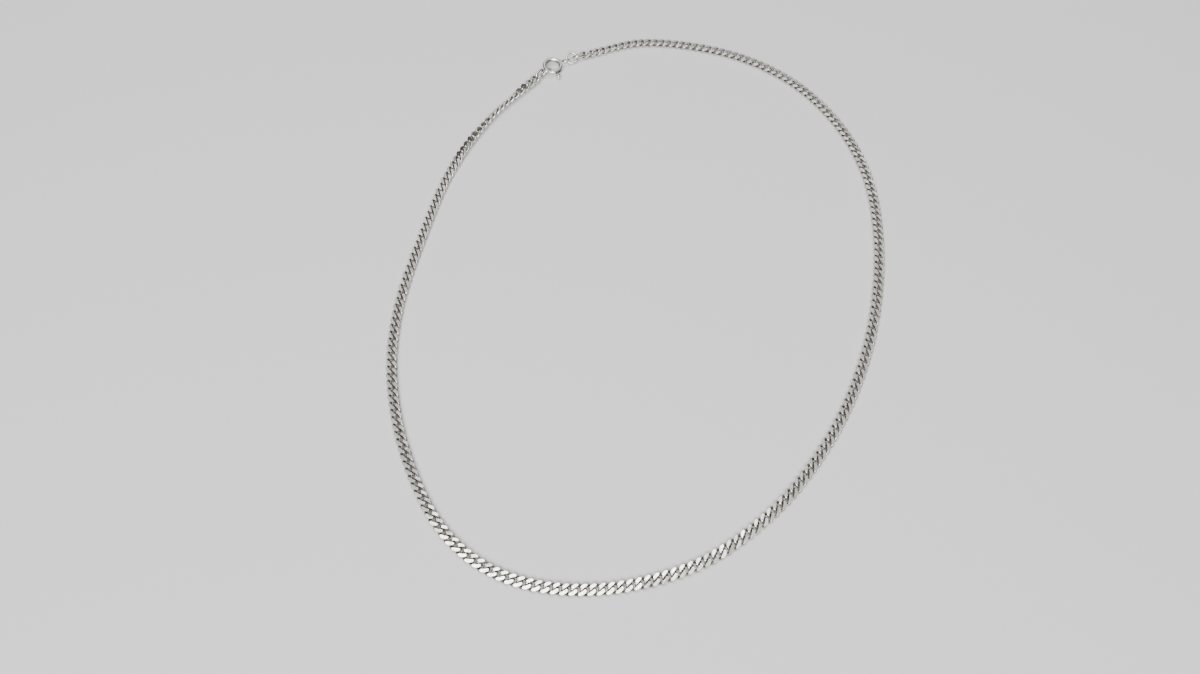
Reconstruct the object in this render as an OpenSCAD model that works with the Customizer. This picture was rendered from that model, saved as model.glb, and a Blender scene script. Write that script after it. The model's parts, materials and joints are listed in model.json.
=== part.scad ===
// Curb chain necklace with a spring ring clasp, lying flat in an open loop.
// Millimetres, +Z up, origin on the floor under the middle of the loop.

/* [Chain] */
// Width of the flattened curb chain
chain_w = 2.9; // [2.5:0.1:3.3]
// Thickness of the flattened curb chain
chain_t = 1.2; // [1:0.05:1.4]
// Chamfer along the four long edges of the chain
chain_chamfer = 0.3; // [0.2:0.05:0.4]

/* [End links] */
// Outer length of the plain oval link at each end of the chain
end_link_l = 3.7; // [3.5:0.05:3.9]
// Outer width of the end links
end_link_w = 2.8; // [2.7:0.05:2.95]
// Wire of the end links
end_link_wire = 0.8; // [0.7:0.05:0.85]

/* [Round rings] */
// Outer diameter of the ring that the clasp hooks
end_ring_d = 3.8; // [3.6:0.05:4]
// Wire of the ring that the clasp hooks
end_ring_wire = 0.6; // [0.5:0.05:0.65]
// Outer diameter of the ring between the clasp and the chain
jump_ring_d = 3.8; // [3.6:0.05:4]
// Wire of the ring between the clasp and the chain
jump_ring_wire = 0.6; // [0.5:0.05:0.65]

/* [Clasp ring] */
// Outer diameter of the spring ring
clasp_d = 6; // [5.8:0.1:6.4]
// Outside diameter of the spring ring's tube
clasp_tube_d = 1.2; // [1.1:0.05:1.3]
// Wall of the spring ring's tube
clasp_wall = 0.2; // [0.15:0.01:0.25]
// Angle of the gap that the gate closes
gap_angle = 33; // [28:1:36]
// Outer diameter of the eye soldered to the ring
eye_d = 3.2; // [3:0.05:3.4]
// Wire of the eye
eye_wire = 0.55; // [0.45:0.05:0.6]
// Depth that the solder sinks the eye into the ring's tube
eye_bite = 0.3; // [0.25:0.05:0.4]

/* [Clasp trigger] */
// Wire of the gate
gate_wire = 0.6; // [0.5:0.02:0.62]
// Wire of the stem that carries the thumb ball
stem_wire = 0.4; // [0.3:0.05:0.45]
// Diameter of the thumb ball
ball_d = 1.4; // [1.2:0.05:1.6]
// Gap between the ring's outside and the thumb ball
ball_gap = 0.65; // [0.5:0.05:0.8]
// Travel of the trigger round the ring
travel = 38; // [36:1:42]

/* [Clearances] */
// Clearance of the stem on each side of its slot
slot_clearance = 0.1; // [0.06:0.01:0.12]
// Least height of the clasp and its rings above the floor
floor_gap = 0.03; // [0.02:0.01:0.06]
// Gap between an end link and the flat chain
chain_gap = 0.15; // [0.1:0.01:0.2]

/* [Hidden] */
$fn = 64;

// Route of the chain from its left end round the loop to its right end.
ROUTE = [
    [-40.5, 54], [-50.5, 36], [-57, 15], [-62, -7.5], [-62.5, -27.5],
    [-58, -48.5], [-48.5, -68], [-34, -79.5], [-14, -83], [7.5, -78.5],
    [25.5, -67], [39.5, -51.5], [50, -34], [57.5, -14.5], [62, 7],
    [62.5, 28.5], [57, 48.5], [45.5, 65.5], [28.5, 77], [6, 82.5],
];

// Middle of the loop's box on the route's grid; it becomes the origin.
middle = [0, -0.25];

// The clasp: its place on the route's grid, and the way its ring leans.
clasp_at = [-21.8, 74];
lean = 7;
lean_bearing = -43;
clasp_r = (clasp_d - clasp_tube_d) / 2;
bore_d = clasp_tube_d - 2 * clasp_wall;
gap_from = 231;
gap_to = gap_from + gap_angle;
stem_bearing = 293;
gate_overlap = 6;
gate_tail = 7;
ball_r = clasp_d / 2 + ball_gap + ball_d / 2;
eye_bearing = 30;
eye_turn = -42;
eye_r = clasp_d / 2 + eye_d / 2 - eye_bite;

// Each linked piece: bearing from the last one, slack of the two wires, then yaw, pitch and roll.
JUMP_RING = [24, 0.18, 32.5, 6, 24];
RIGHT_LINK = [18.5, 0.34, 17, -6, -38.5];
END_RING = [-136, 0.32, 39.5, -6.5, -39];
LEFT_LINK = [-138.5, 0.17, 47, 7.5, -122];

// Each end of the chain: bearing from its end link, height, roll and the length in which it comes down.
LEFT_END = [-135, 1.31, 0, 12];
RIGHT_END = [21, 0.8, -9.7, 8];
// Beyond its left end the chain rolls: the most, where that is reached and where it lies flat.
TILT = [38, 12, 46];
// Reach of the edge on which a rolled chain rests
edge_reach = chain_w / 2 - chain_chamfer * 2 / 3;
// Length of chain between two sections
ring_step = 2.1 * chain_w;

// Height of a flat piece's centre over its lowest point, when it is pitched and rolled.
// The piece is a ring or oval of wire, with outer length l and outer width w.
function half_height(l, w, wire, pitch, roll) =
    (l - w) / 2 * abs(sin(pitch))
    + (w - wire) / 2 * sqrt(pow(sin(pitch), 2) + pow(cos(pitch) * sin(roll), 2))
    + wire / 2;

function toward(bearing) = [cos(bearing), sin(bearing)];

// Centre distance of two linked wires, each given as [outer length, wire].
function linked(a, b, slack) = (a[0] - a[1]) / 2 + (b[0] - b[1]) / 2 - (a[1] + b[1]) / 2 - slack;

// Centre of the next piece, at height z and at a true distance from the last one.
function next_centre(from, bearing, distance, z) =
    let (flat = sqrt(pow(distance, 2) - pow(z - from[2], 2)) * toward(bearing))
    [from[0] + flat[0], from[1] + flat[1], z];

// Height of a point of the clasp over its centre, at a radius and bearing in the leaning ring.
function lean_z(radius, bearing) = -radius * sin(lean) * cos(bearing - lean_bearing);

eye_tilt = abs(eye_turn) + lean * cos(eye_bearing + 90 - lean_bearing);
ball_low = ball_r * sin(lean) + ball_d / 2;
eye_low = -lean_z(eye_r, eye_bearing) + half_height(eye_d, eye_d, eye_wire, 0, eye_tilt);
clasp_z = floor_gap + max(ball_low, eye_low);
clasp_centre = [clasp_at[0] - middle[0], clasp_at[1] - middle[1], clasp_z];
eye_flat = eye_r * sqrt(1 - pow(lean_z(1, eye_bearing), 2));
eye_centre = clasp_centre + [eye_flat * cos(eye_bearing), eye_flat * sin(eye_bearing), lean_z(eye_r, eye_bearing)];

EYE = [eye_d, eye_wire];
JUMP = [jump_ring_d, jump_ring_wire];
END = [end_ring_d, end_ring_wire];
LINK = [end_link_l, end_link_wire];
CLASP = [clasp_d, clasp_tube_d];

function link_z(pose) = floor_gap + half_height(end_link_l, end_link_w, end_link_wire, pose[3], pose[4]);

right_link_z = link_z(RIGHT_LINK);
left_link_z = link_z(LEFT_LINK);
end_ring_z = floor_gap + half_height(end_ring_d, end_ring_d, end_ring_wire, END_RING[3], END_RING[4]);
jump_ring_z = (eye_centre[2] + right_link_z) / 2 + floor_gap;

jump_ring_at = next_centre(eye_centre, JUMP_RING[0], linked(EYE, JUMP, JUMP_RING[1]), jump_ring_z);
right_link_at = next_centre(jump_ring_at, RIGHT_LINK[0], linked(JUMP, LINK, RIGHT_LINK[1]), right_link_z);
end_ring_at = next_centre(clasp_centre, END_RING[0], linked(CLASP, END, END_RING[1]), end_ring_z);
left_link_at = next_centre(end_ring_at, LEFT_LINK[0], linked(END, LINK, LEFT_LINK[1]), left_link_z);

function chain_end(from, end) =
    let (reach = end_link_l / 2 + chain_gap) [from[0], from[1]] + reach * toward(end[0]);

path = [
    chain_end(left_link_at, LEFT_END),
    for (p = ROUTE) p - middle,
    chain_end(right_link_at, RIGHT_END),
];
last = len(path) - 1;

// Smooth curve through the path's points; i counts its spans, u runs from 0 to 1 along one.
function knot(i) = i < 0 ? 2 * path[0] - path[1] : i > last ? 2 * path[last] - path[last - 1] : path[i];
function curve(i, u) =
    let (a = knot(i - 1), b = knot(i), c = knot(i + 1), d = knot(i + 2))
    0.5 * (2 * b + (c - a) * u + (2 * a - 5 * b + 4 * c - d) * u * u + (3 * b - a - 3 * c + d) * u * u * u);

centres = [
    for (i = [0 : last - 1])
        let (steps = max(1, round(norm(path[i + 1] - path[i]) / ring_step)))
        for (k = [0 : steps - (i == last - 1 ? 0 : 1)]) curve(i, k / steps)
];
sections = len(centres);
function along(i) = i == 0 ? 0 : along(i - 1) + norm(centres[i] - centres[i - 1]);
lengths = [for (i = [0 : sections - 1]) along(i)];
chain_length = lengths[sections - 1];

// Share of an end's lift that is left at a distance from that end.
function fading(distance, fall) = (1 + cos(180 * min(distance / fall, 1))) / 2;

// Half of the flattened section, [across, up], and the whole of it by symmetry.
half_section = [
    [chain_w / 2, -chain_t / 2 + chain_chamfer],
    [chain_w / 2, chain_t / 2 - chain_chamfer],
    [chain_w / 2 - chain_chamfer, chain_t / 2],
    [-chain_w / 2 + chain_chamfer, chain_t / 2],
];
section = concat(half_section, -half_section);
sides = len(section);

// Roll of the chain beyond its left end.
function tilted(distance) =
    distance < TILT[1]
        ? TILT[0] + (LEFT_END[2] - TILT[0]) * fading(distance, TILT[1])
        : TILT[0] * fading(distance - TILT[1], TILT[2] - TILT[1]);

// Height of a rolled chain's middle, when its lower edge is on the floor.
function rest_z(roll) = edge_reach * abs(sin(roll)) + chain_t / 2 * cos(roll);

function section_points(i) =
    let (
        before = centres[max(i - 1, 0)],
        after = centres[min(i + 1, sections - 1)],
        ahead = (after - before) / norm(after - before),
        left_share = fading(lengths[i], LEFT_END[3]),
        right_share = fading(chain_length - lengths[i], RIGHT_END[3]),
        roll = tilted(lengths[i]) + right_share * RIGHT_END[2],
        left_lift = left_share * (LEFT_END[1] - rest_z(LEFT_END[2])),
        right_lift = right_share * (RIGHT_END[1] - rest_z(RIGHT_END[2])),
        z = rest_z(roll) + left_lift + right_lift,
        across = [-ahead[1] * cos(roll), ahead[0] * cos(roll), sin(roll)],
        up = [ahead[1] * sin(roll), -ahead[0] * sin(roll), cos(roll)]
    )
    [for (p = section) [centres[i][0], centres[i][1], z] + p[0] * across + p[1] * up];

module sweep_sections() {
    polyhedron(
        points = [for (i = [0 : sections - 1]) each section_points(i)],
        faces = [
            [for (k = [0 : sides - 1]) sides - 1 - k],
            for (i = [0 : sections - 2], k = [0 : sides - 1], half = [0, 1])
                let (a = i * sides + k, b = i * sides + (k + 1) % sides)
                half == 0 ? [a, b, b + sides] : [a, b + sides, a + sides],
            [for (k = [0 : sides - 1]) (sections - 1) * sides + k],
        ]
    );
}

module wire_ring(d, wire) {
    rotate_extrude() translate([(d - wire) / 2, 0]) circle(d = wire);
}

module wire_arc(radius, wire, from, to) {
    rotate_extrude(angle = to - from, start = from) translate([radius, 0]) circle(d = wire);
}

module oval_link(l, w, wire) {
    straight = (l - w) / 2;
    radius = (w - wire) / 2;
    for (end = [-1, 1]) {
        translate([end * straight, 0, 0]) rotate([0, 0, -end * 90]) wire_arc(radius, wire, 0, 180);
        translate([-straight, end * radius, 0]) rotate([0, 90, 0]) cylinder(d = wire, h = 2 * straight);
    }
}

// Sets a piece at its centre, with a pose's yaw, pitch and roll.
module posed(centre, pose) {
    translate(centre) rotate([0, 0, pose[2]]) rotate([0, -pose[3], 0]) rotate([pose[4], 0, 0]) children();
}

module in_clasp() {
    translate(clasp_centre) rotate(a = lean, v = [-sin(lean_bearing), cos(lean_bearing), 0]) children();
}

module curb_chain() {
    color("silver") sweep_sections();
}

module left_end_link() {
    color("lightgray") posed(left_link_at, LEFT_LINK) oval_link(end_link_l, end_link_w, end_link_wire);
}

module right_end_link() {
    color("lightgray") posed(right_link_at, RIGHT_LINK) oval_link(end_link_l, end_link_w, end_link_wire);
}

module end_ring() {
    color("gainsboro") posed(end_ring_at, END_RING) wire_ring(end_ring_d, end_ring_wire);
}

module jump_ring() {
    color("gainsboro") posed(jump_ring_at, JUMP_RING) wire_ring(jump_ring_d, jump_ring_wire);
}

// Slot in the tube's outer wall, in which the stem travels.
module stem_slot() {
    slot_w = stem_wire + 2 * slot_clearance;
    pad = asin(slot_w / 2 / (clasp_r + bore_d / 2));
    rotate_extrude(angle = travel + 2 * pad, start = stem_bearing - pad)
        translate([clasp_r, -slot_w / 2]) square([clasp_tube_d, slot_w]);
}

module clasp_ring() {
    color("silver") in_clasp() difference() {
        union() {
            wire_arc(clasp_r, clasp_tube_d, gap_to, gap_from + 360);
            rotate([0, 0, eye_bearing]) translate([eye_r, 0, 0]) rotate([eye_turn, 0, 0])
                wire_ring(eye_d, eye_wire);
        }
        wire_ring(2 * clasp_r + bore_d, bore_d);
        stem_slot();
    }
}

module clasp_trigger() {
    color("gainsboro") in_clasp() {
        wire_arc(clasp_r, gate_wire, gap_from - gate_overlap, stem_bearing + gate_tail);
        rotate([0, 0, stem_bearing]) {
            translate([clasp_r, 0, 0]) rotate([0, 90, 0]) cylinder(d = stem_wire, h = ball_r - clasp_r);
            translate([ball_r, 0, 0]) sphere(d = ball_d);
        }
    }
}

curb_chain();
left_end_link();
right_end_link();
end_ring();
jump_ring();
clasp_ring();
clasp_trigger();
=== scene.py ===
"""A curb chain necklace with a spring ring clasp, lying in an open loop.

The chain's interlocking links, its rings and its clasp are modelled in millimetres in the
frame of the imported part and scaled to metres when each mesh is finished.
"""

import json
import logging
import math
import random
from dataclasses import dataclass, field
from enum import Enum

import bmesh
import bpy
from mathutils import Matrix, Vector

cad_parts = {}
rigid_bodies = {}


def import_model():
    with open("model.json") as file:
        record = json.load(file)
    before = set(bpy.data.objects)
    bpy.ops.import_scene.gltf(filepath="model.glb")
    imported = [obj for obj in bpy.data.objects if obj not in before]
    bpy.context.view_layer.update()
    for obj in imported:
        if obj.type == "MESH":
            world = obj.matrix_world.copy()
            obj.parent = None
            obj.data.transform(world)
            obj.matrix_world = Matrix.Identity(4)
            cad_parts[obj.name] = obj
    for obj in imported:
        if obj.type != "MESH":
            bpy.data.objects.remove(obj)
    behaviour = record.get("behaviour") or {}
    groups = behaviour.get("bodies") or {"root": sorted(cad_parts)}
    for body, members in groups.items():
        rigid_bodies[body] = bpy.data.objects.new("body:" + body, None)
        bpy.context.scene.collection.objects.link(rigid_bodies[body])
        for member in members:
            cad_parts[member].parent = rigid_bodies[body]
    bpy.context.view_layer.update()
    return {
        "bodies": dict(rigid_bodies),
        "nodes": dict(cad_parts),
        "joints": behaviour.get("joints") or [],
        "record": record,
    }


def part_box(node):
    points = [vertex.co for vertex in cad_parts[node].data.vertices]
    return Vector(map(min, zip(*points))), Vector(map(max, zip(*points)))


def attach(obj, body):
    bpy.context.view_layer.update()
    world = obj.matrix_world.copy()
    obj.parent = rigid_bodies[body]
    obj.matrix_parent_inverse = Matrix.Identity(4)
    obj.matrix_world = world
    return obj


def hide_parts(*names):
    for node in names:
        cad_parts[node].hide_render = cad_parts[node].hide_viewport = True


LOG = logging.getLogger("necklace")

MM = 0.001
NECKLACE = "necklace"

# Route of the chain from its left end round the loop to its right end, in millimetres.
ROUTE = [
    (-40.5, 54), (-50.5, 36), (-57, 15), (-62, -7.5), (-62.5, -27.5),
    (-58, -48.5), (-48.5, -68), (-34, -79.5), (-14, -83), (7.5, -78.5),
    (25.5, -67), (39.5, -51.5), (50, -34), (57.5, -14.5), (62, 7),
    (62.5, 28.5), (57, 48.5), (45.5, 65.5), (28.5, 77), (6, 82.5),
]
# The route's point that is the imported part's origin.
ROUTE_MIDDLE = (0, -0.25)


def fading(distance: float, fall: float) -> float:
    """Falls smoothly from 1 to 0 along a length.

    Args:
        distance: Distance from the length's start.
        fall: The length.

    Returns:
        The share that is left.
    """
    return (1 + math.cos(math.pi * min(distance / fall, 1))) / 2


class Side(Enum):
    """The sides of a link that a grinding wheel takes off, as the signs of its Y and Z."""

    TOP_OUTSIDE = (-1, 1)
    TOP_INSIDE = (1, 1)
    UNDER_OUTSIDE = (-1, -1)
    UNDER_INSIDE = (1, -1)


@dataclass(frozen=True)
class Cut:
    """A flat that is ground on one side of a link.

    Attributes:
        depth: Distance of the flat from the link's middle plane, over the wire's centreline, in millimetres.
        roll: Lean of the flat towards the chain's near edge, in degrees.
    """

    depth: float
    roll: float


@dataclass(frozen=True)
class Pose:
    """How a piece is turned before it is set down: degrees about its own axes.

    Attributes:
        yaw: Turn in the plane of the floor.
        pitch: Lift of the piece's far end.
        roll: Turn about the piece's long axis.
    """

    yaw: float
    pitch: float
    roll: float

    def matrix(self, centre: Vector) -> Matrix:
        """Makes the matrix that turns a piece and sets it down.

        Args:
            centre: Where the piece's centre goes.

        Returns:
            The matrix.
        """
        turn = Matrix.Rotation(math.radians(self.yaw), 4, "Z")
        turn @= Matrix.Rotation(math.radians(-self.pitch), 4, "Y")
        turn @= Matrix.Rotation(math.radians(self.roll), 4, "X")
        return Matrix.Translation(centre) @ turn


@dataclass(frozen=True)
class ChainEnd:
    """How an end of the chain lifts to its end link.

    Attributes:
        bearing: Direction from the end link to the first curb link, in degrees.
        height: Height of the first link's centre, in millimetres.
        roll: Roll of the first link, in degrees.
        fall: Length in which the chain falls flat, in millimetres.
        hook: Extra turn of the first link, which passes through the end link.
    """

    bearing: float
    height: float
    roll: float
    fall: float
    hook: Pose

    def share(self, distance: float) -> float:
        """Finds how much of the lift is left.

        Args:
            distance: Distance from the chain's end, in millimetres.

        Returns:
            The share, from 1 at the end to 0.
        """
        return fading(distance, self.fall)


@dataclass(frozen=True)
class Tilt:
    """How the chain rolls and flattens again beyond its left end.

    Attributes:
        most: The largest roll, in degrees.
        reached: Distance from the end at which it is reached, in millimetres.
        gone: Distance from the end at which the chain lies flat, in millimetres.
    """

    most: float
    reached: float
    gone: float

    def roll(self, distance: float, first: float) -> float:
        """Finds the roll of a link.

        Args:
            distance: Distance from the chain's end, in millimetres.
            first: Roll of the first link, in degrees.

        Returns:
            The roll in degrees.
        """
        if distance < self.reached:
            return self.most + (first - self.most) * fading(distance, self.reached)
        return self.most * fading(distance - self.reached, self.gone - self.reached)


def node_centre(node: str) -> Vector:
    """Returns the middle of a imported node's box, in millimetres."""
    low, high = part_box(node)
    return (low + high) / 2 / MM


def finished(bm: bmesh.types.BMesh, name: str) -> bpy.types.Object:
    """Turns a bmesh in millimetres into an object in metres.

    Args:
        bm: The mesh, which is freed.
        name: Name of the new object.

    Returns:
        The linked object, at the origin.
    """
    bmesh.ops.scale(bm, vec=(MM, MM, MM), verts=bm.verts)
    mesh = bpy.data.meshes.new(name)
    bm.to_mesh(mesh)
    bm.free()
    piece = bpy.data.objects.new(name, mesh)
    bpy.context.scene.collection.objects.link(piece)
    return piece


@dataclass(frozen=True)
class Arc:
    """A round stretch of wire.

    Attributes:
        start: Its first point.
        ahead: Direction of the wire there.
        end: Its last point.
    """

    start: Vector
    ahead: Vector
    end: Vector

    @property
    def inward(self) -> Vector:
        """Direction from the start to the arc's centre."""
        chord = self.end - self.start
        return (chord - self.ahead * chord.dot(self.ahead)).normalized()

    @property
    def centre(self) -> Vector:
        """The arc's centre."""
        chord = self.end - self.start
        return self.start + self.inward * chord.length_squared / (2 * chord.dot(self.inward))

    @property
    def axis(self) -> Vector:
        """The axis about which the wire turns."""
        return self.ahead.cross(self.inward)

    @property
    def angle(self) -> float:
        """The arc's angle in radians."""
        chord = self.end - self.start
        return 2 * math.atan2(chord.dot(self.inward), chord.dot(self.ahead))

    def turn(self, share: float) -> Matrix:
        """Returns the turn about the arc's centre after a share of the arc."""
        return Matrix.Rotation(self.angle * share, 3, self.axis)

    def point(self, share: float) -> Vector:
        """Returns the point at a share of the arc."""
        return self.centre + self.turn(share) @ (self.start - self.centre)


@dataclass(frozen=True)
class CurbLink:
    """One twisted link of round wire, ground flat above and below. Lengths in millimetres.

    Attributes:
        half_length: Half of the wire's centreline along the chain.
        half_width: Half of the wire's centreline across the chain.
        wire: Diameter of the wire.
        end_tilt: Steepness of the wire at the link's two ends, in degrees.
        side_slope: Steepness of the wire at the link's two sides, in degrees.
        cuts: The flat on each side.
        edge: Width of the worn edge round each ground face.
        arc_steps: Sections along each of the link's eight arcs.
        sides: Sides of the wire.
        crisp_angle: Edges sharper than this many degrees stay crisp.
        flat_normal: Least upright part of a ground face's normal.
        hole_share: Tarnish and painted shade on the sides that face the link's hole.
        depth_share: Tarnish and painted shade halfway down the wire, between the ground faces.
    """

    half_length: float = 1.49
    half_width: float = 1.07
    wire: float = 0.76
    end_tilt: float = 55
    side_slope: float = 45
    cuts: tuple[tuple[Side, Cut], ...] = (
        (Side.TOP_OUTSIDE, Cut(0.41, 5)),
        (Side.TOP_INSIDE, Cut(0.56, 2)),
        (Side.UNDER_OUTSIDE, Cut(0.58, 0)),
        (Side.UNDER_INSIDE, Cut(0.58, 0)),
    )
    edge: float = 0.03
    arc_steps: int = 3
    sides: int = 10
    crisp_angle: float = 50
    flat_normal: float = 0.98
    hole_share: float = 0.95
    depth_share: float = 0.6

    @property
    def under(self) -> float:
        """Depth of the lower ground faces under the link's middle."""
        return max(cut.depth for side, cut in self.cuts if side in (Side.UNDER_OUTSIDE, Side.UNDER_INSIDE))

    def quarter_arcs(self) -> tuple[Arc, Arc]:
        """Returns the two arcs that join the link's end to its side without a kink."""
        tilt, slope = math.radians(self.end_tilt), math.radians(self.side_slope)
        end, side = Vector((self.half_length, 0, 0)), Vector((0, self.half_width, 0))
        end_ahead = Vector((0, math.cos(tilt), -math.sin(tilt)))
        side_ahead = Vector((-math.cos(slope), 0, math.sin(slope)))
        chord = side - end
        both = end_ahead + side_ahead
        spread = 2 * (1 - end_ahead.dot(side_ahead))
        reach = math.sqrt(chord.dot(both) ** 2 + spread * chord.length_squared)
        reach = (reach - chord.dot(both)) / spread
        low, high = end + reach * end_ahead, side - reach * side_ahead
        middle = (low + high) / 2
        return Arc(end, end_ahead, middle), Arc(middle, (high - low).normalized(), side)

    def seam_twist(self, arcs: tuple[Arc, Arc]) -> float:
        """Returns the small twist that lines up the wire's sides with the next quarter's."""
        across = arcs[1].turn(1) @ arcs[0].turn(1) @ Vector((1, 0, 0))
        ahead = arcs[1].turn(1) @ arcs[1].ahead
        side = Vector((0, 1, 0))
        off = math.atan2(across.cross(side).dot(ahead), across.dot(side))
        step = math.tau / self.sides
        return off - step * round(off / step)

    def quarter(self) -> bmesh.types.BMesh:
        """Returns a quarter of the link: a ring of wire drawn along two arcs."""
        bm = bmesh.new()
        arcs = self.quarter_arcs()
        twist = self.seam_twist(arcs) / (2 * self.arc_steps)
        ahead = arcs[0].ahead
        frame = Matrix((Vector((1, 0, 0)), ahead.cross(Vector((1, 0, 0))), ahead)).transposed()
        start = Matrix.Translation(arcs[0].start) @ frame.to_4x4()
        bmesh.ops.create_circle(bm, segments=self.sides, radius=self.wire / 2, matrix=start)
        ring = bm.edges[:] + bm.verts[:]
        for arc in arcs:
            for step in range(1, self.arc_steps + 1):
                spun = bmesh.ops.spin(
                    bm, geom=ring, cent=arc.centre, axis=arc.axis,
                    angle=arc.angle / self.arc_steps, steps=1,
                )
                ring = spun["geom_last"]
                share = step / self.arc_steps
                bmesh.ops.rotate(
                    bm, verts=[v for v in ring if isinstance(v, bmesh.types.BMVert)],
                    cent=arc.point(share), matrix=Matrix.Rotation(twist, 3, arc.turn(share) @ arc.ahead),
                )
        return bm

    def build(self) -> bmesh.types.BMesh:
        """Returns the closed link, with its ground faces marked in the layer named ground."""
        bm = self.quarter()
        for axis in "XY":
            copy = bmesh.ops.duplicate(bm, geom=bm.verts[:] + bm.edges[:] + bm.faces[:])
            verts = [v for v in copy["geom"] if isinstance(v, bmesh.types.BMVert)]
            bmesh.ops.rotate(bm, verts=verts, matrix=Matrix.Rotation(math.pi, 3, axis))
        bmesh.ops.remove_doubles(bm, verts=bm.verts, dist=self.wire / 200)
        bmesh.ops.recalc_face_normals(bm, faces=bm.faces)
        bm.faces.layers.float.new("ground")
        for side, cut in self.cuts:
            self.grind(bm, side, cut)
        self.mark_recess(bm)
        layer = bm.faces.layers.float["ground"]
        for edge in bm.edges:
            flats = {face[layer] for face in edge.link_faces}
            edge.smooth = len(flats) == 1 and edge.calc_face_angle() < math.radians(self.crisp_angle)
        for face in bm.faces:
            face.smooth = True
        return bm

    def mark_recess(self, bm: bmesh.types.BMesh) -> None:
        """Marks how far each point of the link is darkened by tarnish and painted shade, on the sides that
        face the hole and halfway down the wire, in the layer recess.
        """
        layer = bm.verts.layers.float.new("recess")
        bm.normal_update()
        for vert in bm.verts:
            outward = Vector((vert.co.x, vert.co.y, 0)).normalized()
            # The sides that face the hole and the wire's middle height get painted shade along with tarnish.
            inner = (1 - vert.normal.dot(outward)) / 2
            depth = 1 - abs(vert.co.z) / self.under
            vert[layer] = max(0.0, min(1.0, self.hole_share * inner + self.depth_share * depth))

    def grind(self, bm: bmesh.types.BMesh, side: Side, cut: Cut) -> None:
        """Grinds the wire flat on one side of the link.

        Args:
            bm: The closed link.
            side: The side that the wheel meets.
            cut: The flat that it leaves.
        """
        across, up = side.value
        away = Matrix.Rotation(math.radians(-across * up * cut.roll), 3, "X") @ Vector((0, 0, up))
        layer = bm.faces.layers.float["ground"]
        # At one end of the link the flat reaches past the middle, where the wire crosses over.
        middles = [(face, face.calc_center_median()) for face in bm.faces]
        near = [face for face, at in middles if at.y * across > 0 or at.x * across * up < 0]
        parts = {part for f in near for part in (*f.verts, *f.edges)}
        bmesh.ops.bisect_plane(
            bm, geom=[*near, *parts], plane_no=away, clear_outer=True,
            plane_co=(0, across * self.half_width, up * cut.depth),
        )
        rim = [e for e in bm.edges if e.is_boundary]
        flats = bmesh.ops.holes_fill(bm, edges=rim, sides=0)["faces"]
        for face in flats:
            face[layer] = 1
        edges = {e for face in flats for e in face.edges}
        bmesh.ops.bevel(
            bm, geom=list(edges), offset=self.edge, offset_type="OFFSET", segments=1,
            profile=0.5, affect="EDGES", material=-1, clamp_overlap=True,
        )
        for face in bm.faces:
            if face[layer] and abs(face.normal.z) < self.flat_normal:
                face[layer] = 0


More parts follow.
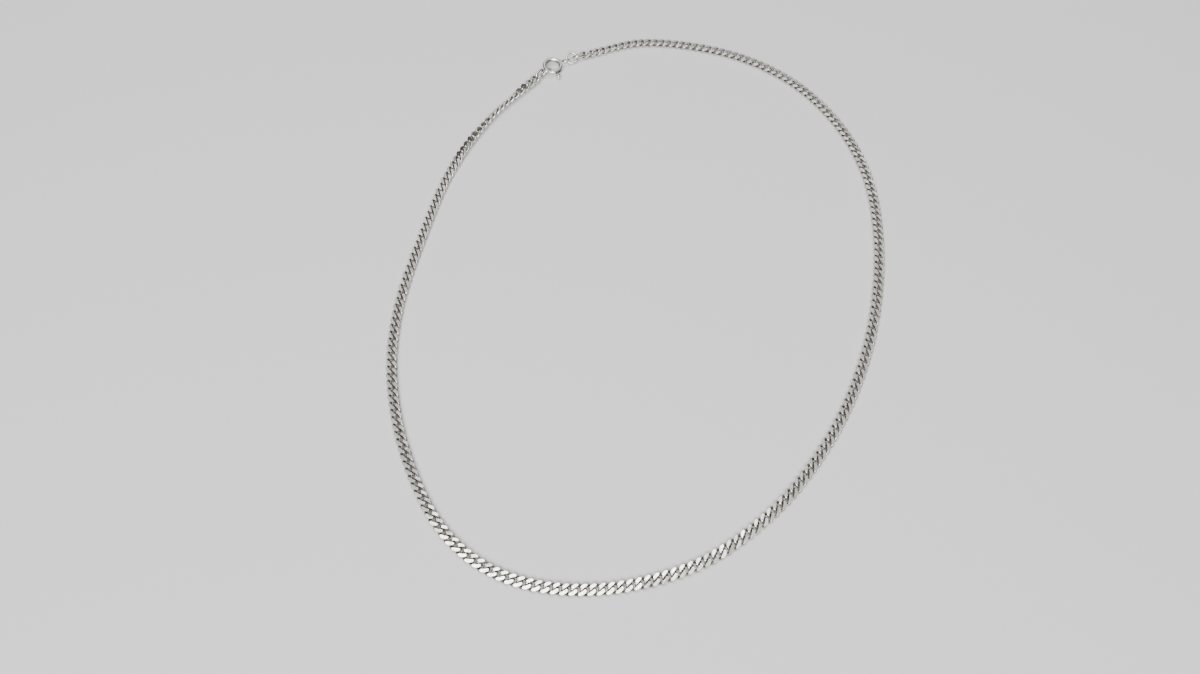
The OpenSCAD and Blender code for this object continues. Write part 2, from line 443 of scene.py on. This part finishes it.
@dataclass
class CurbChain:
    """The whole chain of interlocking links, laid along the route. Lengths in millimetres.

    Attributes:
        link: The link.
        pitch: Distance between two links.
        end_reach: Distance from an end link's centre to the next curb link's.
        edge_reach: Distance from a link's middle to the edge on which a rolled link rests.
        clearance: Height of a flat link over the floor, which its looseness needs.
        left: The chain's left end.
        tilt: The roll beyond the left end.
        right: The chain's right end.
        curve_steps: Points of the curve between two points of the route.
        looseness: Largest turn of a link from its neighbours' line, in degrees.
        seed: Seed of the random draws.
    """

    link: CurbLink = field(default_factory=CurbLink)
    pitch: float = 2.0
    end_reach: float = 2.0
    edge_reach: float = 1.25
    clearance: float = 0.03
    left: ChainEnd = ChainEnd(bearing=-135, height=1.31, roll=0, fall=12, hook=Pose(-3, 0, 0))
    tilt: Tilt = Tilt(most=38, reached=12, gone=46)
    right: ChainEnd = ChainEnd(bearing=21, height=0.825, roll=-9.7, fall=8, hook=Pose(6, 7, 3))
    curve_steps: int = 200
    looseness: float = 1.2
    seed: int = 7

    def path(self) -> list[Vector]:
        """Returns the route's points with the chain's two ends, in the part's frame."""
        middle = Vector(ROUTE_MIDDLE)
        ends = []
        for node, end in (("left_end_link", self.left), ("right_end_link", self.right)):
            angle = math.radians(end.bearing)
            reach = self.end_reach * Vector((math.cos(angle), math.sin(angle)))
            ends.append(node_centre(node).xy + reach)
        return [ends[0], *(Vector(p) - middle for p in ROUTE), ends[1]]

    def curve(self) -> list[Vector]:
        """Returns closely spaced points of the smooth curve through the path."""
        path = self.path()
        knots = [2 * path[0] - path[1], *path, 2 * path[-1] - path[-2]]
        points = []
        for a, b, c, d in zip(knots, knots[1:], knots[2:], knots[3:]):
            for step in range(self.curve_steps):
                u = step / self.curve_steps
                points.append(
                    0.5 * (2 * b + (c - a) * u + (2 * a - 5 * b + 4 * c - d) * u * u
                           + (3 * b - a - 3 * c + d) * u ** 3)
                )
        return [*points, path[-1]]

    def stations(self) -> list[tuple[Vector, float, float]]:
        """Returns each link's centre, its bearing in degrees and its distance along the chain."""
        points = self.curve()
        lengths = [0.0]
        for a, b in zip(points, points[1:]):
            lengths.append(lengths[-1] + (b - a).length)
        count = round(lengths[-1] / self.pitch)
        spacing = lengths[-1] / count
        found, i = [], 0
        for n in range(count + 1):
            wanted = min(n * spacing, lengths[-1] - 1e-6)
            while lengths[i + 1] < wanted:
                i += 1
            step = points[i + 1] - points[i]
            share = (wanted - lengths[i]) / step.length
            found.append((points[i] + share * step, math.degrees(math.atan2(step.y, step.x)), wanted))
        return found

    def height(self, at: float, total: float) -> float:
        """Finds the height of a link's centre.

        Args:
            at: Distance along the chain.
            total: The chain's length.

        Returns:
            The height in millimetres.
        """
        lift = self.left.share(at) * (self.left.height - self.rest(self.left.roll))
        lift += self.right.share(total - at) * (self.right.height - self.rest(self.right.roll))
        return self.rest(self.roll(at, total)) + lift

    def roll(self, at: float, total: float) -> float:
        """Finds the roll of a link.

        Args:
            at: Distance along the chain.
            total: The chain's length.

        Returns:
            The roll in degrees.
        """
        return self.tilt.roll(at, self.left.roll) + self.right.share(total - at) * self.right.roll

    def rest(self, roll: float) -> float:
        """Finds the height of a rolled link's middle, when its lower edge is on the floor.

        Args:
            roll: The roll in degrees.

        Returns:
            The height in millimetres.
        """
        turn = math.radians(roll)
        return self.clearance + self.edge_reach * abs(math.sin(turn)) + self.link.under * math.cos(turn)

    def poses(self) -> list[Matrix]:
        """Returns the place of each link, with the small looseness of a real chain."""
        draw = random.Random(self.seed)
        stations = self.stations()
        total = stations[-1][2]
        places = []
        for centre, bearing, at in stations:
            z = self.height(at, total)
            slope = self.height(at + 0.5, total) - self.height(at - 0.5, total)
            held = max(self.left.share(at), self.right.share(total - at))
            loose = self.looseness * (1 - held)
            extra = Pose(*(draw.uniform(-loose, loose) for _ in range(3)))
            if at < self.pitch / 2:
                extra = self.left.hook
            elif total - at < self.pitch / 2:
                extra = self.right.hook
            pose = Pose(
                bearing + extra.yaw,
                math.degrees(math.atan(slope)) + extra.pitch,
                self.roll(at, total) + extra.roll,
            )
            places.append(pose.matrix(Vector((*centre, z))))
        return places

    def build(self) -> bpy.types.Object:
        """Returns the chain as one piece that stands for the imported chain."""
        link = self.link.build()
        mesh = bpy.data.meshes.new("one link")
        link.to_mesh(mesh)
        link.free()
        places = self.poses()
        draw = random.Random(self.seed + 1)
        bm = bmesh.new()
        tone = bm.faces.layers.float.new("tone")
        bm.faces.layers.float.new("ground")
        bm.verts.layers.float.new("recess")
        for place in places:
            start_vert, start_face = len(bm.verts), len(bm.faces)
            bm.from_mesh(mesh)
            bm.verts.ensure_lookup_table()
            bm.faces.ensure_lookup_table()
            bmesh.ops.transform(bm, matrix=place, verts=bm.verts[start_vert:])
            shade = draw.random()
            for face in bm.faces[start_face:]:
                face[tone] = shade
        bpy.data.meshes.remove(mesh)
        LOG.info("chain of %d links, %d triangles", len(places), sum(len(f.verts) - 2 for f in bm.faces))
        piece = finished(bm, "curb_links")
        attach(piece, NECKLACE)
        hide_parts("curb_chain")
        return piece


# Noise values between which a cloud of tarnish forms, and the strength of the tarnish and painted shade in
# the recesses outside and inside a cloud.
CLOUD_EDGES = (0.32, 0.72)
SHADE_AND_FILM_RANGE = (0.55, 1.25)
# Tarnish of a cloud where the metal is rubbed clean.
HAZE = 0.16
# Directions of the scratches, in radians, the lean of all of them, their stretch and their fineness.
SCRATCH_TURNS = (0.4, 1.5, 2.5)
SCRATCH_LEAN = (0.3, 0.2)
SCRATCH_STRETCH = 0.12
SCRATCH_FINENESS = 28.0
# Patches in which scratches gather, and the noise values between which a patch forms.
PATCHES_PER_MM = 0.9
PATCH_EDGES = (0.42, 0.62)
# How a ring's seam wavers: how often, and its narrowest and widest share of the seam's width.
WAVERS_PER_MM = 9.0
WAVER_RANGE = (0.6, 1.4)


class Effect(Enum):
    """The shared node groups, by name."""

    TARNISH_AND_SHADE = "tarnish_and_shade"
    SCRATCHES = "fine scratches"
    RING_SIDE = "ring side"
    SEAM = "ring seam"


@dataclass(frozen=True)
class Graph:
    """A node tree that is being wired up.

    Attributes:
        tree: The tree.
    """

    tree: bpy.types.NodeTree

    def add(self, kind: str, feeds: dict | None = None, **settings: object) -> bpy.types.Node:
        """Adds a node.

        Args:
            kind: The node's type.
            feeds: A value or another node's socket for each input, by its name or number.
            settings: The node's own settings.

        Returns:
            The node.
        """
        node = self.tree.nodes.new(kind)
        for name, value in settings.items():
            setattr(node, name, value)
        for name, value in (feeds or {}).items():
            self.feed(node.inputs[name], value)
        return node

    def feed(self, socket: bpy.types.NodeSocket, value: object) -> None:
        """Links or sets an input.

        Args:
            socket: The input.
            value: Another node's socket to link to it, or a value to set.
        """
        if isinstance(value, bpy.types.NodeSocket):
            self.tree.links.new(value, socket)
        else:
            socket.default_value = value

    def math(self, operation: str, *values: object) -> bpy.types.NodeSocket:
        """Adds a math node that keeps its result between 0 and 1.

        Args:
            operation: What it works out.
            values: Its inputs.

        Returns:
            The result.
        """
        feeds = dict(enumerate(values))
        return self.add("ShaderNodeMath", feeds, operation=operation, use_clamp=True).outputs[0]

    def between(self, value: object, low: object, high: object) -> bpy.types.NodeSocket:
        """Makes a mask from a value.

        Args:
            value: The value.
            low: Value at which the mask is 0.
            high: Value at which it is 1.

        Returns:
            The mask, with a smooth rise.
        """
        feeds = {"Value": value, "From Min": low, "From Max": high}
        return self.add("ShaderNodeMapRange", feeds, interpolation_type="SMOOTHSTEP").outputs[0]

    def blend(self, share: object, first: object, second: object) -> bpy.types.NodeSocket:
        """Blends two numbers.

        Args:
            share: Share of the second.
            first: The first number.
            second: The second number.

        Returns:
            The number between them.
        """
        feeds = {"Value": share, "To Min": first, "To Max": second}
        return self.add("ShaderNodeMapRange", feeds).outputs[0]

    def colours(self, share: object, first: object, second: object) -> bpy.types.NodeSocket:
        """Blends two colours.

        Args:
            share: Share of the second.
            first: The first colour.
            second: The second colour.

        Returns:
            The mixed colour.
        """
        feeds = {0: share, 6: first, 7: second}
        return self.add("ShaderNodeMix", feeds, data_type="RGBA").outputs[2]

    def millimetres(self) -> bpy.types.NodeSocket:
        """Returns the surface's own place, in millimetres."""
        place = self.add("ShaderNodeTexCoord").outputs["Object"]
        feeds = {0: place, "Scale": 1 / MM}
        return self.add("ShaderNodeVectorMath", feeds, operation="SCALE").outputs[0]

    def noise(self, place: object, scale: object, detail: float) -> bpy.types.NodeSocket:
        """Makes a noise.

        Args:
            place: Where it is read.
            scale: Its spots for each unit of place.
            detail: Its finer layers.

        Returns:
            The noise, from 0 to 1.
        """
        feeds = {"Vector": place, "Scale": scale, "Detail": detail}
        return self.add("ShaderNodeTexNoise", feeds).outputs[0]

    def attribute(self, name: str) -> bpy.types.NodeSocket:
        """Returns a number that the mesh holds."""
        return self.add("ShaderNodeAttribute", attribute_name=name).outputs["Fac"]

    def effect(self, effect: Effect, feeds: dict[str, object]) -> bpy.types.Node:
        """Places a shared node group.

        Args:
            effect: The group.
            feeds: A value or another node's socket for each input, by its name.

        Returns:
            The placed group.
        """
        return self.add("ShaderNodeGroup", feeds, node_tree=bpy.data.node_groups[effect.value])


def new_group(effect: Effect, inputs: dict[str, object], outputs: dict[str, str]) -> Graph:
    """Starts a shared node group.

    Args:
        effect: The effect, which names the group.
        inputs: Each input's name and its default value.
        outputs: Each output's name and its kind.

    Returns:
        The graph, whose nodes "in" and "out" are the group's ends.
    """
    tree = bpy.data.node_groups.new(effect.value, "ShaderNodeTree")
    kinds = {float: "NodeSocketFloat", 3: "NodeSocketVector", 4: "NodeSocketColor"}
    for name, value in inputs.items():
        kind = kinds[float] if isinstance(value, float) else kinds[len(value)]
        tree.interface.new_socket(name, in_out="INPUT", socket_type=kind).default_value = value
    for name, kind in outputs.items():
        tree.interface.new_socket(name, in_out="OUTPUT", socket_type=kind)
    graph = Graph(tree)
    graph.add("NodeGroupInput", name="in")
    graph.add("NodeGroupOutput", name="out")
    return graph


def tarnish_and_shade_group() -> None:
    """Makes the tarnish clouds, and the tarnish and painted shade that darken the silver in its recesses."""
    silver, stain_and_shade = (0.9, 0.89, 0.86, 1.0), (0.2, 0.17, 0.1, 1.0)
    inputs = {"Recess": 0.0, "Spots per mm": 1.0, "Amount": 1.0, "Silver": silver, "Stain and shade": stain_and_shade}
    graph = new_group(Effect.TARNISH_AND_SHADE, inputs, {"Colour": "NodeSocketColor", "Mask": "NodeSocketFloat"})
    given, out = graph.tree.nodes["in"].outputs, graph.tree.nodes["out"].inputs
    place = graph.millimetres()
    cloud = graph.between(graph.noise(place, given["Spots per mm"], 4), *CLOUD_EDGES)
    thick = graph.blend(cloud, *SHADE_AND_FILM_RANGE)
    # The recess mask darkens the silver as painted shade and tarnish together.
    shade_and_film = graph.math("MULTIPLY", graph.math("MULTIPLY", given["Recess"], thick), given["Amount"])
    haze = graph.math("MULTIPLY", graph.math("MULTIPLY", cloud, HAZE), given["Amount"])
    mask = graph.math("MAXIMUM", shade_and_film, haze)
    graph.feed(out["Colour"], graph.colours(mask, given["Silver"], given["Stain and shade"]))
    graph.feed(out["Mask"], mask)


def scratches_group() -> None:
    """Makes fine scratches in three directions."""
    graph = new_group(
        Effect.SCRATCHES, {"Scratches per mm": 4.0, "Share": 0.5},
        {"Mask": "NodeSocketFloat", "Height": "NodeSocketFloat"},
    )
    given, out = graph.tree.nodes["in"].outputs, graph.tree.nodes["out"].inputs
    place = graph.millimetres()
    total = 0.0
    for turn in SCRATCH_TURNS:
        feeds = {"Vector": place, "Rotation": (*SCRATCH_LEAN, turn), "Scale": (SCRATCH_STRETCH, 1, 1)}
        drawn = graph.add("ShaderNodeMapping", feeds).outputs[0]
        streaks = graph.noise(drawn, given["Scratches per mm"], 2)
        feeds = {0: streaks, 1: 0.5}
        offset = graph.add("ShaderNodeMath", feeds, operation="SUBTRACT").outputs[0]
        width = graph.math("MULTIPLY", graph.math("ABSOLUTE", offset), SCRATCH_FINENESS)
        total = graph.math("MAXIMUM", total, graph.math("SUBTRACT", 1.0, width))
    patches = graph.between(graph.noise(place, PATCHES_PER_MM, 2), *PATCH_EDGES)
    mask = graph.math("MULTIPLY", graph.math("MULTIPLY", total, patches), given["Share"])
    graph.feed(out["Mask"], mask)
    graph.feed(out["Height"], graph.math("SUBTRACT", 1.0, mask))


def ring_side_group() -> None:
    """Makes the mask of a ring's inner side, which is darkened with tarnish and painted shade."""
    inputs = {"Centre": (0.0, 0.0, 0.0), "Clean": 2.0, "Dull": 1.5}
    graph = new_group(Effect.RING_SIDE, inputs, {"Mask": "NodeSocketFloat"})
    given, out = graph.tree.nodes["in"].outputs, graph.tree.nodes["out"].inputs
    feeds = {0: graph.millimetres(), 1: given["Centre"]}
    reach = graph.add("ShaderNodeVectorMath", feeds, operation="DISTANCE").outputs["Value"]
    graph.feed(out["Mask"], graph.between(reach, given["Clean"], given["Dull"]))


def seam_group() -> None:
    """Makes the mask of the fine line where a bent ring's two ends meet."""
    inputs = {
        "Centre": (0.0, 0.0, 0.0), "Across": (1.0, 0.0, 0.0),
        "Towards": (0.0, 1.0, 0.0), "Width": 0.05,
    }
    graph = new_group(Effect.SEAM, inputs, {"Mask": "NodeSocketFloat"})
    given, out = graph.tree.nodes["in"].outputs, graph.tree.nodes["out"].inputs
    place = graph.millimetres()
    feeds = {0: place, 1: given["Centre"]}
    offset = graph.add("ShaderNodeVectorMath", feeds, operation="SUBTRACT").outputs[0]
    feeds = {0: offset, 1: given["Across"]}
    across = graph.add("ShaderNodeVectorMath", feeds, operation="DOT_PRODUCT").outputs["Value"]
    feeds = {0: offset, 1: given["Towards"]}
    towards = graph.add("ShaderNodeVectorMath", feeds, operation="DOT_PRODUCT").outputs["Value"]
    waver = graph.blend(graph.noise(place, WAVERS_PER_MM, 2), *WAVER_RANGE)
    gap = graph.math("DIVIDE", graph.math("ABSOLUTE", across), graph.math("MULTIPLY", given["Width"], waver))
    line = graph.between(gap, 1.0, 0.4)
    graph.feed(out["Mask"], graph.math("MULTIPLY", line, graph.math("GREATER_THAN", towards, 0.0)))


@dataclass(frozen=True)
class Seam:
    """The line where a bent ring's two ends meet.

    Attributes:
        pose: How the ring is turned; the seam is on its positive Y side.
        width: Half of the line's width, in millimetres.
    """

    pose: Pose
    width: float = 0.05


@dataclass(frozen=True)
class RingSide:
    """A round piece of wire whose inner side is darkened with tarnish and painted shade. Lengths in
    millimetres.

    Attributes:
        centre: The ring's centre.
        clean: Distance from the centre beyond which the wire has neither tarnish nor painted shade.
        dull: Distance from the centre within which its tarnish and painted shade are full.
    """

    centre: Vector
    clean: float
    dull: float


# Darkest and brightest link, as shares of the silver's colour.
TONE_RANGE = (0.93, 1.04)
# Roughness of the drawn wire and of the ground faces, as shares of the silver's roughness, least and most.
WIRE_ROUGHNESS = (0.75, 1.25)
GROUND_ROUGHNESS = (0.45, 0.8)
# Roughness in a scratch, as a share of the silver's.
SCRATCH_ROUGHNESS = 2.2
# How metallic the silver stays under tarnish and painted shade.
SHADED_AND_TARNISHED_METALLIC = 0.72
# Spots of the roughness and of the grain for each millimetre, and the share of the grain on ground faces.
ROUGHNESS_PER_MM = 2.2
GRAINS_PER_MM = 3.5
GROUND_GRAIN = 0.12
# Share of the scratches in the surface's height; the grain has the rest.
SCRATCH_HEIGHT = 0.25


@dataclass(frozen=True)
class Silver:
    """Finish of one kind of silver piece.

    Attributes:
        name: Name of the material.
        colour: Clean silver.
        stain_and_shade: Silver under tarnish and painted shade, and in scratches.
        roughness: Roughness of the clean metal.
        dulled: Roughness under tarnish and painted shade.
        tarnish_and_shade: Amount of the tarnish clouds and of the tarnish and painted shade in the recesses.
        spots: Spots of tarnish per millimetre.
        scratches: Scratches per millimetre.
        scratched: Share of each scratch that shows.
        darkened: Share of the stain in a scratch.
        grain: Depth of the cast or drawn surface's unevenness, in micrometres.
    """

    name: str
    colour: tuple[float, float, float] = (0.93, 0.92, 0.89)
    stain_and_shade: tuple[float, float, float] = (0.16, 0.14, 0.09)
    roughness: float = 0.16
    dulled: float = 0.45
    tarnish_and_shade: float = 1.0
    spots: float = 1.4
    scratches: float = 5.0
    scratched: float = 0.5
    darkened: float = 0.5
    grain: float = 4.0

    def start(self) -> tuple[bpy.types.Material, Graph, bpy.types.Node]:
        """Returns the new material, its graph and its shader."""
        made = bpy.data.materials.new(self.name)
        made.use_nodes = True
        shader = made.node_tree.nodes["Principled BSDF"]
        shader.inputs["Specular IOR Level"].default_value = 0.5
        return made, Graph(made.node_tree), shader

    def dress(
        self, graph: Graph, shader: bpy.types.Node, recess: object, facet: object, tone: object,
    ) -> None:
        """Feeds the shader with tarnish and painted shade, scratches and grain.

        Args:
            graph: The material's graph.
            shader: Its Principled BSDF.
            recess: Mask of the hollows, darkened with tarnish and painted shade.
            facet: Mask of the ground faces.
            tone: Number from 0 to 1 that differs from link to link.
        """
        # Off the ground faces, the recess mask darkens the silver as painted shade along with tarnish.
        shade_and_tarnish_mask = graph.math("MULTIPLY", recess, graph.math("SUBTRACT", 1.0, facet))
        dim, bright = (tuple(min(1, share * part) for part in self.colour) for share in TONE_RANGE)
        clean = graph.colours(tone, (*dim, 1), (*bright, 1))
        marks = graph.effect(Effect.SCRATCHES, {
            "Scratches per mm": self.scratches, "Share": self.scratched,
        }).outputs
        lines = graph.math("MULTIPLY", marks["Mask"], self.darkened)
        tarnish_and_shade = graph.effect(Effect.TARNISH_AND_SHADE, {
            "Recess": shade_and_tarnish_mask, "Spots per mm": self.spots, "Amount": self.tarnish_and_shade,
            "Silver": graph.colours(lines, clean, (*self.stain_and_shade, 1)), "Stain and shade": (*self.stain_and_shade, 1),
        }).outputs
        place = graph.millimetres()
        clouds = graph.noise(place, ROUGHNESS_PER_MM, 3)
        wire = graph.blend(clouds, *(share * self.roughness for share in WIRE_ROUGHNESS))
        ground = graph.blend(tone, *(share * self.roughness for share in GROUND_ROUGHNESS))
        smooth = graph.blend(facet, wire, ground)
        marked = graph.blend(marks["Mask"], smooth, SCRATCH_ROUGHNESS * self.roughness)
        graph.feed(shader.inputs["Roughness"], graph.blend(tarnish_and_shade["Mask"], marked, self.dulled))
        graph.feed(shader.inputs["Base Color"], tarnish_and_shade["Colour"])
        graph.feed(shader.inputs["Metallic"], graph.blend(tarnish_and_shade["Mask"], 1.0, SHADED_AND_TARNISHED_METALLIC))
        grains = graph.noise(place, GRAINS_PER_MM, 3)
        uneven = graph.math("MULTIPLY", grains, graph.blend(facet, 1.0, GROUND_GRAIN))
        uneven = graph.math("MULTIPLY", uneven, 1 - SCRATCH_HEIGHT)
        height = graph.math("MULTIPLY_ADD", marks["Height"], SCRATCH_HEIGHT, uneven)
        feeds = {"Strength": 1.0, "Distance": self.grain * MM * MM, "Height": height}
        bump = graph.add("ShaderNodeBump", feeds)
        graph.feed(shader.inputs["Normal"], bump.outputs[0])

    def material(
        self, rings: tuple[RingSide, ...] = (), seam: Seam | None = None,
    ) -> bpy.types.Material:
        """Returns the material.

        Args:
            rings: The rings whose inner sides are darkened with tarnish and painted shade, or none for a
                piece that holds its own masks.
            seam: The seam of the first ring, if it has one.

        Returns:
            The material.
        """
        made, graph, shader = self.start()
        if not rings:
            masks = [graph.attribute(name) for name in ("recess", "ground", "tone")]
            self.dress(graph, shader, *masks)
            return made
        # The rings' inner sides are darkened with tarnish and painted shade.
        recess = 0.0
        for ring in rings:
            feeds = {"Centre": ring.centre, "Clean": ring.clean, "Dull": ring.dull}
            side = graph.effect(Effect.RING_SIDE, feeds).outputs["Mask"]
            recess = graph.math("MAXIMUM", recess, side)
        if seam:
            turn = seam.pose.matrix(Vector())
            feeds = {"Centre": rings[0].centre, "Width": seam.width}
            feeds.update(Across=turn.col[0].xyz, Towards=turn.col[1].xyz)
            line = graph.effect(Effect.SEAM, feeds).outputs["Mask"]
            recess = graph.math("MAXIMUM", recess, line)
        self.dress(graph, shader, recess, 0.0, 0.5)
        return made


@dataclass(frozen=True)
class Finish:
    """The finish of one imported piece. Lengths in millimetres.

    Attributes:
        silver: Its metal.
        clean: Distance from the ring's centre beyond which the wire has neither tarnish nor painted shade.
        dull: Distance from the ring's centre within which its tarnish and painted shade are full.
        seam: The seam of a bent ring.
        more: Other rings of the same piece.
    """

    silver: Silver
    clean: float
    dull: float
    seam: Seam | None = None
    more: tuple[RingSide, ...] = ()

    def material(self, centre: Vector) -> bpy.types.Material:
        """Makes the piece's material.

        Args:
            centre: The ring's centre.

        Returns:
            The material.
        """
        sides = (RingSide(centre, self.clean, self.dull), *self.more)
        return self.silver.material(sides, self.seam)


# Middle of the eye that is soldered to the clasp's ring, in millimetres.
EYE_CENTRE = Vector((-18.0785, 76.3986, 1.10692))

CHAIN_SILVER = Silver("chain silver", tarnish_and_shade=1.25)
FINISHES = {
    "clasp_ring": Finish(
        Silver(
            "clasp silver", roughness=0.14, tarnish_and_shade=0.8, spots=0.8, scratches=4.0,
            scratched=0.45, grain=3.0,
        ),
        clean=2.15, dull=1.7, more=(RingSide(EYE_CENTRE, 1.3, 1.0),),
    ),
    "clasp_trigger": Finish(
        Silver(
            "trigger silver", roughness=0.19, tarnish_and_shade=0.5, spots=1.8, scratches=8.0,
            scratched=0.75, grain=2.5,
        ),
        clean=2.1, dull=1.6,
    ),
    "end_ring": Finish(
        Silver("end ring silver", colour=(0.92, 0.9, 0.84), tarnish_and_shade=0.85, spots=1.7, scratches=6.0),
        clean=1.5, dull=1.15, seam=Seam(Pose(39.5, -6.5, -39)),
    ),
    "jump_ring": Finish(
        Silver("jump ring silver", colour=(0.92, 0.9, 0.85), tarnish_and_shade=0.85, spots=1.3, scratches=6.0),
        clean=1.5, dull=1.15, seam=Seam(Pose(32.5, 6, 24)),
    ),
    "left_end_link": Finish(
        Silver("left end link silver", roughness=0.18, tarnish_and_shade=0.8, spots=1.5, scratched=0.6),
        clean=1.15, dull=0.6,
    ),
    "right_end_link": Finish(
        Silver("right end link silver", roughness=0.17, tarnish_and_shade=0.8, spots=1.2, scratched=0.6),
        clean=1.15, dull=0.6,
    ),
}


@dataclass(frozen=True)
class Solder:
    """The small fillet of solder that joins the clasp's eye to its ring. Lengths in millimetres.

    Attributes:
        profile: Distances from the ring's centre, each with the fillet's radius there.
        sides: Sides of the fillet.
    """

    profile: tuple[tuple[float, float], ...] = (
        (2.6, 0.0), (2.62, 0.5), (2.86, 0.55), (2.98, 0.46), (3.1, 0.38), (3.24, 0.27), (3.3, 0.0),
    )
    sides: int = 24

    def build(self, centre: Vector) -> bpy.types.Object:
        """Makes the fillet.

        Args:
            centre: Centre of the clasp's ring, from which the fillet faces the eye.

        Returns:
            The fillet.
        """
        bm = bmesh.new()
        profile = [bm.verts.new((radius, 0, reach)) for reach, radius in self.profile]
        edges = [bm.edges.new(pair) for pair in zip(profile, profile[1:])]
        bmesh.ops.spin(
            bm, geom=profile + edges, cent=(0, 0, 0), axis=(0, 0, 1), angle=math.tau,
            steps=self.sides, use_merge=True,
        )
        bmesh.ops.remove_doubles(bm, verts=bm.verts, dist=1e-4)
        bmesh.ops.recalc_face_normals(bm, faces=bm.faces)
        for face in bm.faces:
            face.smooth = True
        turn = (EYE_CENTRE - centre).to_track_quat("Z", "Y").to_matrix().to_4x4()
        bmesh.ops.transform(bm, matrix=Matrix.Translation(centre) @ turn, verts=bm.verts)
        piece = finished(bm, "eye_solder")
        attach(piece, NECKLACE)
        return piece


@dataclass(frozen=True)
class SoftBox:
    """A soft light that faces the loop. Lengths in metres.

    Attributes:
        name: Name of the light.
        place: Its centre.
        size: Its width and height.
        watts: Its power.
    """

    name: str
    place: tuple[float, float, float]
    size: tuple[float, float]
    watts: float

    def build(self) -> None:
        """Makes the light."""
        data = bpy.data.lights.new(self.name, "AREA")
        data.shape = "RECTANGLE"
        data.size, data.size_y = self.size
        data.energy = self.watts
        made = bpy.data.objects.new(self.name, data)
        bpy.context.scene.collection.objects.link(made)
        made.location = self.place
        made.rotation_euler = (-Vector(self.place)).to_track_quat("-Z", "Y").to_euler()


SOFT_BOXES = (
    SoftBox("wide soft box", (0, 0.3, 0.9), (1.3, 1.0), 3.0),
    SoftBox("back soft box", (0, 1.1, 0.9), (1.3, 0.6), 1.6),
    SoftBox("front soft box", (-0.08, 0.12, 0.8), (0.44, 0.28), 2.6),
    SoftBox("camera side soft box", (-0.15, -0.75, 0.8), (0.9, 0.5), 17),
)


@dataclass(frozen=True)
class Studio:
    """The pale floor, the soft lights and the camera. Lengths in metres, angles in degrees.

    Attributes:
        camera_place: The camera's place.
        camera_down: How far it looks down.
        camera_roll: Its roll.
        lens: Its lens, in millimetres.
        floor_size: Width of the floor.
        floor_drop: Depth of the floor under the lowest piece.
        floor_grey: The floor's brightness.
        room_colour: Colour of the room.
        room_strength: Brightness of the room.
    """

    camera_place: tuple[float, float, float] = (-0.01152, -0.15418, 0.2218)
    camera_down: float = 58.57
    camera_roll: float = -2.58
    lens: float = 31.47
    floor_size: float = 6.0
    floor_drop: float = 0.00002
    floor_grey: float = 0.8
    room_colour: tuple[float, float, float] = (0.42, 0.43, 0.45)
    room_strength: float = 0.18

    def camera(self) -> None:
        """Makes the camera at the photograph's viewing angle."""
        data = bpy.data.cameras.new("camera")
        data.lens = self.lens
        data.clip_start = 0.005
        made = bpy.data.objects.new("camera", data)
        bpy.context.scene.collection.objects.link(made)
        turn = Matrix.Rotation(math.radians(90 - self.camera_down), 4, "X")
        turn @= Matrix.Rotation(math.radians(self.camera_roll), 4, "Z")
        made.matrix_world = Matrix.Translation(self.camera_place) @ turn
        bpy.context.scene.camera = made

    def floor(self) -> None:
        """Makes the plain pale floor."""
        bm = bmesh.new()
        bmesh.ops.create_grid(bm, x_segments=1, y_segments=1, size=self.floor_size / 2)
        bmesh.ops.translate(bm, vec=(0, 0, -self.floor_drop), verts=bm.verts)
        mesh = bpy.data.meshes.new("floor")
        bm.to_mesh(mesh)
        bm.free()
        floor = bpy.data.objects.new("floor", mesh)
        bpy.context.scene.collection.objects.link(floor)
        pale = bpy.data.materials.new("pale floor")
        pale.use_nodes = True
        shader = pale.node_tree.nodes["Principled BSDF"]
        shader.inputs["Base Color"].default_value = (self.floor_grey,) * 3 + (1,)
        shader.inputs["Roughness"].default_value = 0.7
        floor.data.materials.append(pale)

    def room(self) -> None:
        """Makes the dim room round the lights."""
        world = bpy.data.worlds.new("room")
        world.use_nodes = True
        backdrop = world.node_tree.nodes["Background"]
        backdrop.inputs["Color"].default_value = (*self.room_colour, 1)
        backdrop.inputs["Strength"].default_value = self.room_strength
        bpy.context.scene.world = world

    def build(self) -> None:
        """Makes the whole studio."""
        self.camera()
        self.floor()
        for box in SOFT_BOXES:
            box.build()
        self.room()


def dress_pieces(frame: dict) -> None:
    """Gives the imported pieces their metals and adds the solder.

    Args:
        frame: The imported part.
    """
    clasp = Vector(frame["joints"][0]["pos_m"]) / MM
    for name, finish in FINISHES.items():
        node = frame["nodes"][name]
        node.data.materials.clear()
        node.data.materials.append(finish.material(clasp if "clasp" in name else node_centre(name)))
    solder = Solder().build(clasp)
    solder.data.materials.append(frame["nodes"]["clasp_ring"].data.materials[0])


def main() -> None:
    """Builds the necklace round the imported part."""
    logging.basicConfig(level=logging.INFO)
    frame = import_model()
    Studio().build()
    for make in (tarnish_and_shade_group, scratches_group, ring_side_group, seam_group):
        make()
    chain = CurbChain().build()
    chain.data.materials.append(CHAIN_SILVER.material())
    dress_pieces(frame)


if __name__ == "__main__":
    main()
